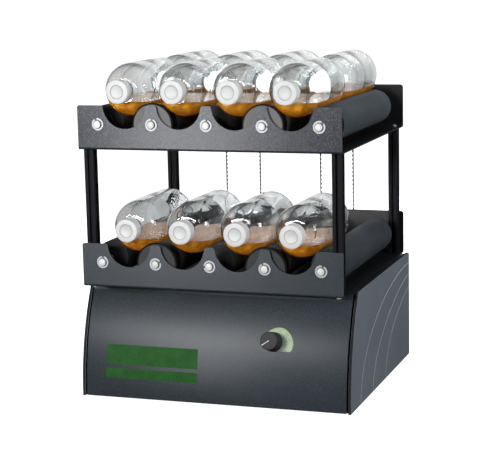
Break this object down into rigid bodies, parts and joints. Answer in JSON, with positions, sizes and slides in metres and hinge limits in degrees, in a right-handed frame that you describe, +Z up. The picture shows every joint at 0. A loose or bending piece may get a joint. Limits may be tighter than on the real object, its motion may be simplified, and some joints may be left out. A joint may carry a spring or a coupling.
{
  "type": "two-deck bench-top bottle roller",
  "caption": "Bench-top laboratory bottle roller with two decks of rubber-covered rollers over a motor base, turning glass bottles of liquid that lie between them.",
  "frame": {"origin": "middle of the footprint on the surface the feet stand on", "axes": "+Z up, front with the speed knob faces -Y, roller axes along Y"},
  "size_m": [0.6186, 0.638, 0.74],
  "materials": {
    "upper_paint": "speckled grey powder coat",
    "lower_paint": "dark grey powder coat",
    "base_paint": "fine-textured charcoal coat",
    "side_paint": "fine-textured grey coat",
    "black_paint": "matt black coat",
    "drum_rubber": "matt mottled rubber",
    "belt_rubber": "moulded toothed belt",
    "foot_rubber": "matt rubber",
    "shaft_steel": "bright ground shaft",
    "pulley_metal": "machined",
    "motor_metal": "painted gearbox and motor can",
    "pot_metal": "plated",
    "knob_plastic": "satin moulded plastic",
    "entry_plastic": "moulded plastic",
    "bottle_glass": "clear glass"
  },
  "bodies": {
    "frame": {"base_cover": "base_paint", "side_panel_left": "side_paint", "side_panel_right": "side_paint", "rear_panel": "black_paint", "bottom_plate": "black_paint", "foot_front_left": "foot_rubber", "foot_front_right": "foot_rubber", "foot_rear_left": "foot_rubber", "foot_rear_right": "foot_rubber", "gearmotor": "motor_metal", "speed_pot": "pot_metal", "power_entry": "entry_plastic", "drive_belt": "belt_rubber", "lift_belt_2": "belt_rubber", "lift_belt_4": "belt_rubber", "lower_tray": "lower_paint", "upper_tray": "upper_paint", "post_front_left": "black_paint", "post_front_right": "black_paint", "post_rear_left": "black_paint", "post_rear_right": "black_paint"},
    "lower_roller_body_1": {"lower_roller_1": "drum_rubber", "lower_shaft_1": "shaft_steel"},
    "lower_roller_body_2": {"lower_roller_2": "drum_rubber", "lower_shaft_2": "shaft_steel", "lower_pulley_2": "pulley_metal"},
    "lower_roller_body_3": {"lower_roller_3": "drum_rubber", "lower_shaft_3": "shaft_steel"},
    "lower_roller_body_4": {"lower_roller_4": "drum_rubber", "lower_shaft_4": "shaft_steel", "lower_pulley_4": "pulley_metal"},
    "lower_roller_body_5": {"lower_roller_5": "drum_rubber", "lower_shaft_5": "shaft_steel"},
    "upper_roller_body_1": {"upper_roller_1": "drum_rubber", "upper_shaft_1": "shaft_steel"},
    "upper_roller_body_2": {"upper_roller_2": "drum_rubber", "upper_shaft_2": "shaft_steel", "upper_pulley_2": "pulley_metal"},
    "upper_roller_body_3": {"upper_roller_3": "drum_rubber", "upper_shaft_3": "shaft_steel"},
    "upper_roller_body_4": {"upper_roller_4": "drum_rubber", "upper_shaft_4": "shaft_steel", "upper_pulley_4": "pulley_metal"},
    "upper_roller_body_5": {"upper_roller_5": "drum_rubber", "upper_shaft_5": "shaft_steel"},
    "lower_bottle_1_body": {"lower_bottle_1": "bottle_glass"},
    "upper_front_bottle_1_body": {"upper_front_bottle_1": "bottle_glass"},
    "upper_rear_bottle_1_body": {"upper_rear_bottle_1": "bottle_glass"},
    "lower_bottle_2_body": {"lower_bottle_2": "bottle_glass"},
    "upper_front_bottle_2_body": {"upper_front_bottle_2": "bottle_glass"},
    "upper_rear_bottle_2_body": {"upper_rear_bottle_2": "bottle_glass"},
    "lower_bottle_3_body": {"lower_bottle_3": "bottle_glass"},
    "upper_front_bottle_3_body": {"upper_front_bottle_3": "bottle_glass"},
    "upper_rear_bottle_3_body": {"upper_rear_bottle_3": "bottle_glass"},
    "lower_bottle_4_body": {"lower_bottle_4": "bottle_glass"},
    "upper_front_bottle_4_body": {"upper_front_bottle_4": "bottle_glass"},
    "upper_rear_bottle_4_body": {"upper_rear_bottle_4": "bottle_glass"},
    "motor_pulley_body": {"motor_pulley": "pulley_metal"},
    "speed_knob_body": {"speed_knob": "knob_plastic"},
    "power_switch_body": {"power_switch": "entry_plastic"}
  },
  "joints": [
    {"name": "lower_roller_1_spin", "type": "hinge", "parent": "frame", "child": "lower_roller_body_1", "pos_m": [-0.248, 0, 0.3085], "axis": [0, 1, 0], "continuous": true},
    {"name": "lower_roller_2_spin", "type": "hinge", "parent": "frame", "child": "lower_roller_body_2", "pos_m": [-0.124, 0, 0.3085], "axis": [0, 1, 0], "continuous": true},
    {"name": "lower_roller_3_spin", "type": "hinge", "parent": "frame", "child": "lower_roller_body_3", "pos_m": [0, 0, 0.3085], "axis": [0, 1, 0], "continuous": true},
    {"name": "lower_roller_4_spin", "type": "hinge", "parent": "frame", "child": "lower_roller_body_4", "pos_m": [0.124, 0, 0.3085], "axis": [0, 1, 0], "continuous": true},
    {"name": "lower_roller_5_spin", "type": "hinge", "parent": "frame", "child": "lower_roller_body_5", "pos_m": [0.248, 0, 0.3085], "axis": [0, 1, 0], "continuous": true},
    {"name": "upper_roller_1_spin", "type": "hinge", "parent": "frame", "child": "upper_roller_body_1", "pos_m": [-0.248, 0, 0.6105], "axis": [0, 1, 0], "continuous": true},
    {"name": "upper_roller_2_spin", "type": "hinge", "parent": "frame", "child": "upper_roller_body_2", "pos_m": [-0.124, 0, 0.6105], "axis": [0, 1, 0], "continuous": true},
    {"name": "upper_roller_3_spin", "type": "hinge", "parent": "frame", "child": "upper_roller_body_3", "pos_m": [0, 0, 0.6105], "axis": [0, 1, 0], "continuous": true},
    {"name": "upper_roller_4_spin", "type": "hinge", "parent": "frame", "child": "upper_roller_body_4", "pos_m": [0.124, 0, 0.6105], "axis": [0, 1, 0], "continuous": true},
    {"name": "upper_roller_5_spin", "type": "hinge", "parent": "frame", "child": "upper_roller_body_5", "pos_m": [0.248, 0, 0.6105], "axis": [0, 1, 0], "continuous": true},
    {"name": "lower_bottle_1_spin", "type": "hinge", "parent": "frame", "child": "lower_bottle_1_body", "pos_m": [-0.186, 0, 0.38101], "axis": [0, 1, 0], "continuous": true},
    {"name": "upper_front_bottle_1_spin", "type": "hinge", "parent": "frame", "child": "upper_front_bottle_1_body", "pos_m": [-0.186, 0, 0.68301], "axis": [0, 1, 0], "continuous": true},
    {"name": "upper_rear_bottle_1_spin", "type": "hinge", "parent": "frame", "child": "upper_rear_bottle_1_body", "pos_m": [-0.186, 0, 0.68301], "axis": [0, 1, 0], "continuous": true},
    {"name": "lower_bottle_2_spin", "type": "hinge", "parent": "frame", "child": "lower_bottle_2_body", "pos_m": [-0.062, 0, 0.38101], "axis": [0, 1, 0], "continuous": true},
    {"name": "upper_front_bottle_2_spin", "type": "hinge", "parent": "frame", "child": "upper_front_bottle_2_body", "pos_m": [-0.062, 0, 0.68301], "axis": [0, 1, 0], "continuous": true},
    {"name": "upper_rear_bottle_2_spin", "type": "hinge", "parent": "frame", "child": "upper_rear_bottle_2_body", "pos_m": [-0.062, 0, 0.68301], "axis": [0, 1, 0], "continuous": true},
    {"name": "lower_bottle_3_spin", "type": "hinge", "parent": "frame", "child": "lower_bottle_3_body", "pos_m": [0.062, 0, 0.38101], "axis": [0, 1, 0], "continuous": true},
    {"name": "upper_front_bottle_3_spin", "type": "hinge", "parent": "frame", "child": "upper_front_bottle_3_body", "pos_m": [0.062, 0, 0.68301], "axis": [0, 1, 0], "continuous": true},
    {"name": "upper_rear_bottle_3_spin", "type": "hinge", "parent": "frame", "child": "upper_rear_bottle_3_body", "pos_m": [0.062, 0, 0.68301], "axis": [0, 1, 0], "continuous": true},
    {"name": "lower_bottle_4_spin", "type": "hinge", "parent": "frame", "child": "lower_bottle_4_body", "pos_m": [0.186, 0, 0.38101], "axis": [0, 1, 0], "continuous": true},
    {"name": "upper_front_bottle_4_spin", "type": "hinge", "parent": "frame", "child": "upper_front_bottle_4_body", "pos_m": [0.186, 0, 0.68301], "axis": [0, 1, 0], "continuous": true},
    {"name": "upper_rear_bottle_4_spin", "type": "hinge", "parent": "frame", "child": "upper_rear_bottle_4_body", "pos_m": [0.186, 0, 0.68301], "axis": [0, 1, 0], "continuous": true},
    {"name": "motor_pulley_spin", "type": "hinge", "parent": "frame", "child": "motor_pulley_body", "pos_m": [0, 0, 0.15], "axis": [0, 1, 0], "continuous": true},
    {"name": "speed_knob_turn", "type": "hinge", "parent": "frame", "child": "speed_knob_body", "pos_m": [0.1317, -0.2602, 0.146], "axis": [0, -0.9546, 0.2979], "range_deg": [-270, 0]},
    {"name": "power_switch_rock", "type": "hinge", "parent": "frame", "child": "power_switch_body", "pos_m": [-0.215, 0.26, 0.107], "axis": [1, 0, 0], "range_deg": [0, 14]}
  ],
  "couplings": [
    {"joint": "lower_roller_1_spin", "follows": "lower_roller_2_spin", "ratio": 1},
    {"joint": "lower_roller_3_spin", "follows": "lower_roller_2_spin", "ratio": 1},
    {"joint": "lower_roller_4_spin", "follows": "lower_roller_2_spin", "ratio": 1},
    {"joint": "lower_roller_5_spin", "follows": "lower_roller_2_spin", "ratio": 1},
    {"joint": "upper_roller_1_spin", "follows": "lower_roller_2_spin", "ratio": 1},
    {"joint": "upper_roller_2_spin", "follows": "lower_roller_2_spin", "ratio": 1},
    {"joint": "upper_roller_3_spin", "follows": "lower_roller_2_spin", "ratio": 1},
    {"joint": "upper_roller_4_spin", "follows": "lower_roller_2_spin", "ratio": 1},
    {"joint": "upper_roller_5_spin", "follows": "lower_roller_2_spin", "ratio": 1},
    {"joint": "lower_bottle_1_spin", "follows": "lower_roller_2_spin", "ratio": -0.66842},
    {"joint": "upper_front_bottle_1_spin", "follows": "lower_roller_2_spin", "ratio": -0.66842},
    {"joint": "upper_rear_bottle_1_spin", "follows": "lower_roller_2_spin", "ratio": -0.66842},
    {"joint": "lower_bottle_2_spin", "follows": "lower_roller_2_spin", "ratio": -0.66842},
    {"joint": "upper_front_bottle_2_spin", "follows": "lower_roller_2_spin", "ratio": -0.66842},
    {"joint": "upper_rear_bottle_2_spin", "follows": "lower_roller_2_spin", "ratio": -0.66842},
    {"joint": "lower_bottle_3_spin", "follows": "lower_roller_2_spin", "ratio": -0.66842},
    {"joint": "upper_front_bottle_3_spin", "follows": "lower_roller_2_spin", "ratio": -0.66842},
    {"joint": "upper_rear_bottle_3_spin", "follows": "lower_roller_2_spin", "ratio": -0.66842},
    {"joint": "lower_bottle_4_spin", "follows": "lower_roller_2_spin", "ratio": -0.66842},
    {"joint": "upper_front_bottle_4_spin", "follows": "lower_roller_2_spin", "ratio": -0.66842},
    {"joint": "upper_rear_bottle_4_spin", "follows": "lower_roller_2_spin", "ratio": -0.66842},
    {"joint": "motor_pulley_spin", "follows": "lower_roller_2_spin", "ratio": 1.3}
  ]
}
